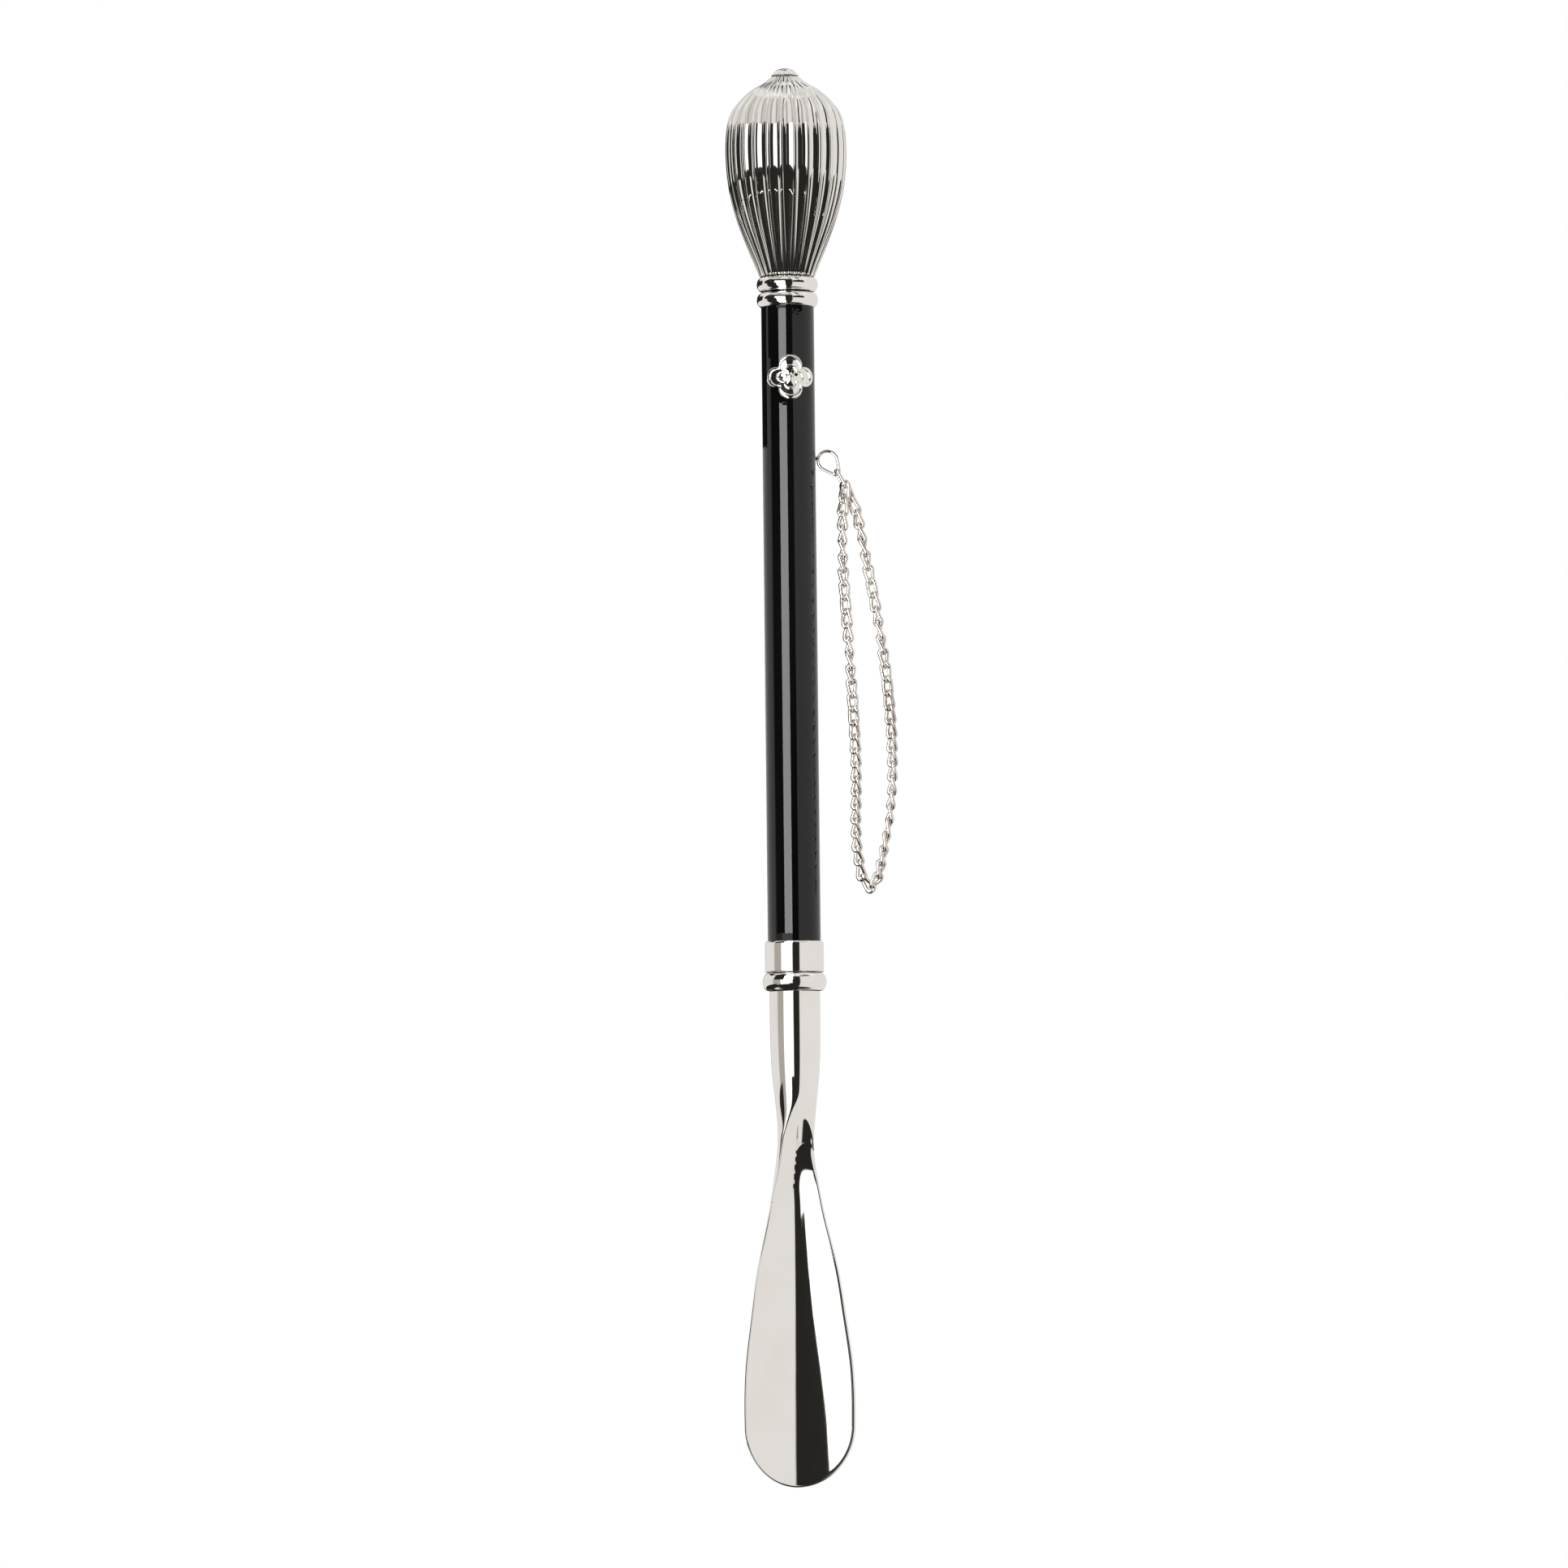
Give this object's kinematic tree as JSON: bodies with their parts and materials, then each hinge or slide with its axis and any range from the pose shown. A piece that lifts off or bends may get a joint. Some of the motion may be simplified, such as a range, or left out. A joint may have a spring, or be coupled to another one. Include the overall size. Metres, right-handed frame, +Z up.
{
  "type": "long shoehorn",
  "caption": "Long-handled shoehorn with a fluted round knob, a slim round shaft, a hollow spoon-shaped blade and a hanging loop of fine chain on a side eye.",
  "frame": {"origin": "under the middle of the whole object's bounding box, level with the lowest point of the blade's tip; the shaft's axis is 8 mm from it towards -X", "axes": "+Z up the shaft from the blade to the knob, -Y the side that the blade's hollow and the badge face, +X the side with the screw eye and the chain loop"},
  "size_m": [0.0595, 0.0434, 0.508],
  "materials": {
    "silver_plate": "polished silver plate on cast metal, warm white",
    "black_lacquer": "high-gloss black lacquer on a turned wooden rod",
    "nickel_chain": "bright plated wire, softly polished",
    "zinc_plated_steel": "plain zinc-plated threaded rod",
    "brass": "turned brass"
  },
  "bodies": {
    "shoehorn": {"finial_cap_nut": "silver_plate", "knob_shell": "silver_plate", "knob_centring_bush": "brass", "tie_rod": "zinc_plated_steel", "upper_bead_ring": "silver_plate", "lower_bead_ring": "silver_plate", "shaft": "black_lacquer", "clover_badge": "silver_plate", "ferrule_sleeve": "silver_plate", "ferrule_bead_ring": "silver_plate", "blade_stud": "zinc_plated_steel", "shoehorn_blade": "silver_plate", "screw_eye": "nickel_chain"},
    "chain_end_link": {"chain_end_link": "nickel_chain"},
    "chain_left_01": {"chain_pair_left_01": "nickel_chain"},
    "chain_left_02": {"chain_pair_left_02": "nickel_chain"},
    "chain_left_03": {"chain_pair_left_03": "nickel_chain"},
    "chain_left_04": {"chain_pair_left_04": "nickel_chain"},
    "chain_left_05": {"chain_pair_left_05": "nickel_chain"},
    "chain_left_06": {"chain_pair_left_06": "nickel_chain"},
    "chain_left_07": {"chain_pair_left_07": "nickel_chain"},
    "chain_left_08": {"chain_pair_left_08": "nickel_chain"},
    "chain_left_09": {"chain_pair_left_09": "nickel_chain"},
    "chain_left_10": {"chain_pair_left_10": "nickel_chain"},
    "chain_left_11": {"chain_pair_left_11": "nickel_chain"},
    "chain_left_12": {"chain_pair_left_12": "nickel_chain"},
    "chain_left_13": {"chain_pair_left_13": "nickel_chain"},
    "chain_left_14": {"chain_pair_left_14": "nickel_chain"},
    "chain_left_15": {"chain_pair_left_15": "nickel_chain"},
    "chain_right_01": {"chain_pair_right_01": "nickel_chain"},
    "chain_right_02": {"chain_pair_right_02": "nickel_chain"},
    "chain_right_03": {"chain_pair_right_03": "nickel_chain"},
    "chain_right_04": {"chain_pair_right_04": "nickel_chain"},
    "chain_right_05": {"chain_pair_right_05": "nickel_chain"},
    "chain_right_06": {"chain_pair_right_06": "nickel_chain"},
    "chain_right_07": {"chain_pair_right_07": "nickel_chain"},
    "chain_right_08": {"chain_pair_right_08": "nickel_chain"},
    "chain_right_09": {"chain_pair_right_09": "nickel_chain"},
    "chain_right_10": {"chain_pair_right_10": "nickel_chain"},
    "chain_right_11": {"chain_pair_right_11": "nickel_chain"},
    "chain_right_12": {"chain_pair_right_12": "nickel_chain"},
    "chain_right_13": {"chain_pair_right_13": "nickel_chain"},
    "chain_right_14": {"chain_pair_right_14": "nickel_chain"}
  },
  "joints": [
    {"name": "chain_sway", "type": "hinge", "parent": "shoehorn", "child": "chain_end_link", "pos_m": [0.00948, 0, 0.36195], "axis": [0.7986, 0, 0.6018], "range_deg": [-60, 60]},
    {"name": "chain_swing", "type": "hinge", "parent": "chain_end_link", "child": "chain_left_01", "pos_m": [0.01206, -0.0013, 0.35748], "axis": [0, -1, 0], "range_deg": [-4, 100]},
    {"name": "chain_swing_right", "type": "hinge", "parent": "chain_end_link", "child": "chain_right_01", "pos_m": [0.01206, 0.0013, 0.35748], "axis": [0, -1, 0], "range_deg": [-4, 100]},
    {"name": "loop_open", "type": "hinge", "parent": "chain_right_01", "child": "chain_right_02", "pos_m": [0.01614, 0.00116, 0.34832], "axis": [0, -1, 0], "range_deg": [-3, 6]},
    {"name": "right_turn_03", "type": "hinge", "parent": "chain_right_02", "child": "chain_right_03", "pos_m": [0.01805, 0.00079, 0.33833], "axis": [0, -1, 0], "range_deg": [-0.99, 1.96]},
    {"name": "right_turn_04", "type": "hinge", "parent": "chain_right_03", "child": "chain_right_04", "pos_m": [0.01989, 0.00037, 0.32834], "axis": [0, -1, 0], "range_deg": [-0.536, 0.278]},
    {"name": "right_turn_05", "type": "hinge", "parent": "chain_right_04", "child": "chain_right_05", "pos_m": [0.02174, 0.00006, 0.31834], "axis": [0, -1, 0], "range_deg": [-1.6, 0.81]},
    {"name": "right_turn_06", "type": "hinge", "parent": "chain_right_05", "child": "chain_right_06", "pos_m": [0.02346, 0, 0.30833], "axis": [0, -1, 0], "range_deg": [-1.86, 0.94]},
    {"name": "right_turn_07", "type": "hinge", "parent": "chain_right_06", "child": "chain_right_07", "pos_m": [0.02498, 0, 0.29828], "axis": [0, -1, 0], "range_deg": [-1.72, 0.87]},
    {"name": "right_turn_08", "type": "hinge", "parent": "chain_right_07", "child": "chain_right_08", "pos_m": [0.02618, 0, 0.28818], "axis": [0, -1, 0], "range_deg": [-1.39, 0.7]},
    {"name": "right_turn_09", "type": "hinge", "parent": "chain_right_08", "child": "chain_right_09", "pos_m": [0.02713, 0, 0.27806], "axis": [0, -1, 0], "range_deg": [-0.96, 0.49]},
    {"name": "right_turn_10", "type": "hinge", "parent": "chain_right_09", "child": "chain_right_10", "pos_m": [0.02775, 0, 0.26792], "axis": [0, -1, 0], "range_deg": [-0.494, 0.257]},
    {"name": "right_turn_11", "type": "hinge", "parent": "chain_right_10", "child": "chain_right_11", "pos_m": [0.02794, 0, 0.25776], "axis": [0, -1, 0], "range_deg": [-0.08, 0.05]},
    {"name": "right_turn_12", "type": "hinge", "parent": "chain_right_11", "child": "chain_right_12", "pos_m": [0.02761, 0, 0.2476], "axis": [0, -1, 0], "range_deg": [-0.134, 0.248]},
    {"name": "right_turn_13", "type": "hinge", "parent": "chain_right_12", "child": "chain_right_13", "pos_m": [0.02655, 0, 0.2375], "axis": [0, -1, 0], "range_deg": [-0.206, 0.392]},
    {"name": "right_turn_14", "type": "hinge", "parent": "chain_right_13", "child": "chain_right_14", "pos_m": [0.02459, 0, 0.22752], "axis": [0, -1, 0], "range_deg": [-0.224, 0.428]},
    {"name": "left_turn_02", "type": "hinge", "parent": "chain_left_01", "child": "chain_left_02", "pos_m": [0.01089, -0.00114, 0.34756], "axis": [0, -1, 0], "range_deg": [-2.32, 1.17]},
    {"name": "left_turn_03", "type": "hinge", "parent": "chain_left_02", "child": "chain_left_03", "pos_m": [0.01078, -0.00076, 0.33754], "axis": [0, -1, 0], "range_deg": [-0.062, 0.041]},
    {"name": "left_turn_04", "type": "hinge", "parent": "chain_left_03", "child": "chain_left_04", "pos_m": [0.01098, -0.00034, 0.32753], "axis": [0, -1, 0], "range_deg": [-0.57, 1.13]},
    {"name": "left_turn_05", "type": "hinge", "parent": "chain_left_04", "child": "chain_left_05", "pos_m": [0.01153, -0.00005, 0.31753], "axis": [0, -1, 0], "range_deg": [-0.7, 1.38]},
    {"name": "left_turn_06", "type": "hinge", "parent": "chain_left_05", "child": "chain_left_06", "pos_m": [0.01225, 0, 0.30753], "axis": [0, -1, 0], "range_deg": [-0.62, 1.23]},
    {"name": "left_turn_07", "type": "hinge", "parent": "chain_left_06", "child": "chain_left_07", "pos_m": [0.01294, 0, 0.29754], "axis": [0, -1, 0], "range_deg": [-0.51, 1]},
    {"name": "left_turn_08", "type": "hinge", "parent": "chain_left_07", "child": "chain_left_08", "pos_m": [0.01349, 0, 0.28754], "axis": [0, -1, 0], "range_deg": [-0.43, 0.84]},
    {"name": "left_turn_09", "type": "hinge", "parent": "chain_left_08", "child": "chain_left_09", "pos_m": [0.01403, 0, 0.27754], "axis": [0, -1, 0], "range_deg": [-0.39, 0.75]},
    {"name": "left_turn_10", "type": "hinge", "parent": "chain_left_09", "child": "chain_left_10", "pos_m": [0.0145, 0, 0.26753], "axis": [0, -1, 0], "range_deg": [-0.36, 0.71]},
    {"name": "left_turn_11", "type": "hinge", "parent": "chain_left_10", "child": "chain_left_11", "pos_m": [0.01485, 0, 0.25752], "axis": [0, -1, 0], "range_deg": [-0.35, 0.67]},
    {"name": "left_turn_12", "type": "hinge", "parent": "chain_left_11", "child": "chain_left_12", "pos_m": [0.01484, 0, 0.24751], "axis": [0, -1, 0], "range_deg": [-0.32, 0.62]},
    {"name": "left_turn_13", "type": "hinge", "parent": "chain_left_12", "child": "chain_left_13", "pos_m": [0.01451, 0, 0.23749], "axis": [0, -1, 0], "range_deg": [-0.278, 0.536]},
    {"name": "left_turn_14", "type": "hinge", "parent": "chain_left_13", "child": "chain_left_14", "pos_m": [0.01482, 0, 0.22749], "axis": [0, -1, 0], "range_deg": [-0.215, 0.41]},
    {"name": "left_turn_15", "type": "hinge", "parent": "chain_left_14", "child": "chain_left_15", "pos_m": [0.0164, 0, 0.2176], "axis": [0, -1, 0], "range_deg": [-0.137, 0.254]}
  ],
  "couplings": [
    {"joint": "chain_swing_right", "follows": "chain_swing", "ratio": 1},
    {"joint": "right_turn_03", "follows": "loop_open", "ratio": 0.324},
    {"joint": "right_turn_04", "follows": "loop_open", "ratio": -0.086},
    {"joint": "right_turn_05", "follows": "loop_open", "ratio": -0.264},
    {"joint": "right_turn_06", "follows": "loop_open", "ratio": -0.307},
    {"joint": "right_turn_07", "follows": "loop_open", "ratio": -0.284},
    {"joint": "right_turn_08", "follows": "loop_open", "ratio": -0.228},
    {"joint": "right_turn_09", "follows": "loop_open", "ratio": -0.156},
    {"joint": "right_turn_10", "follows": "loop_open", "ratio": -0.079},
    {"joint": "right_turn_11", "follows": "loop_open", "ratio": -0.01},
    {"joint": "right_turn_12", "follows": "loop_open", "ratio": 0.038},
    {"joint": "right_turn_13", "follows": "loop_open", "ratio": 0.062},
    {"joint": "right_turn_14", "follows": "loop_open", "ratio": 0.068},
    {"joint": "left_turn_02", "follows": "loop_open", "ratio": -0.383},
    {"joint": "left_turn_03", "follows": "loop_open", "ratio": -0.007},
    {"joint": "left_turn_04", "follows": "loop_open", "ratio": 0.185},
    {"joint": "left_turn_05", "follows": "loop_open", "ratio": 0.227},
    {"joint": "left_turn_06", "follows": "loop_open", "ratio": 0.201},
    {"joint": "left_turn_07", "follows": "loop_open", "ratio": 0.164},
    {"joint": "left_turn_08", "follows": "loop_open", "ratio": 0.137},
    {"joint": "left_turn_09", "follows": "loop_open", "ratio": 0.122},
    {"joint": "left_turn_10", "follows": "loop_open", "ratio": 0.115},
    {"joint": "left_turn_11", "follows": "loop_open", "ratio": 0.109},
    {"joint": "left_turn_12", "follows": "loop_open", "ratio": 0.1},
    {"joint": "left_turn_13", "follows": "loop_open", "ratio": 0.086},
    {"joint": "left_turn_14", "follows": "loop_open", "ratio": 0.065},
    {"joint": "left_turn_15", "follows": "loop_open", "ratio": 0.039}
  ]
}
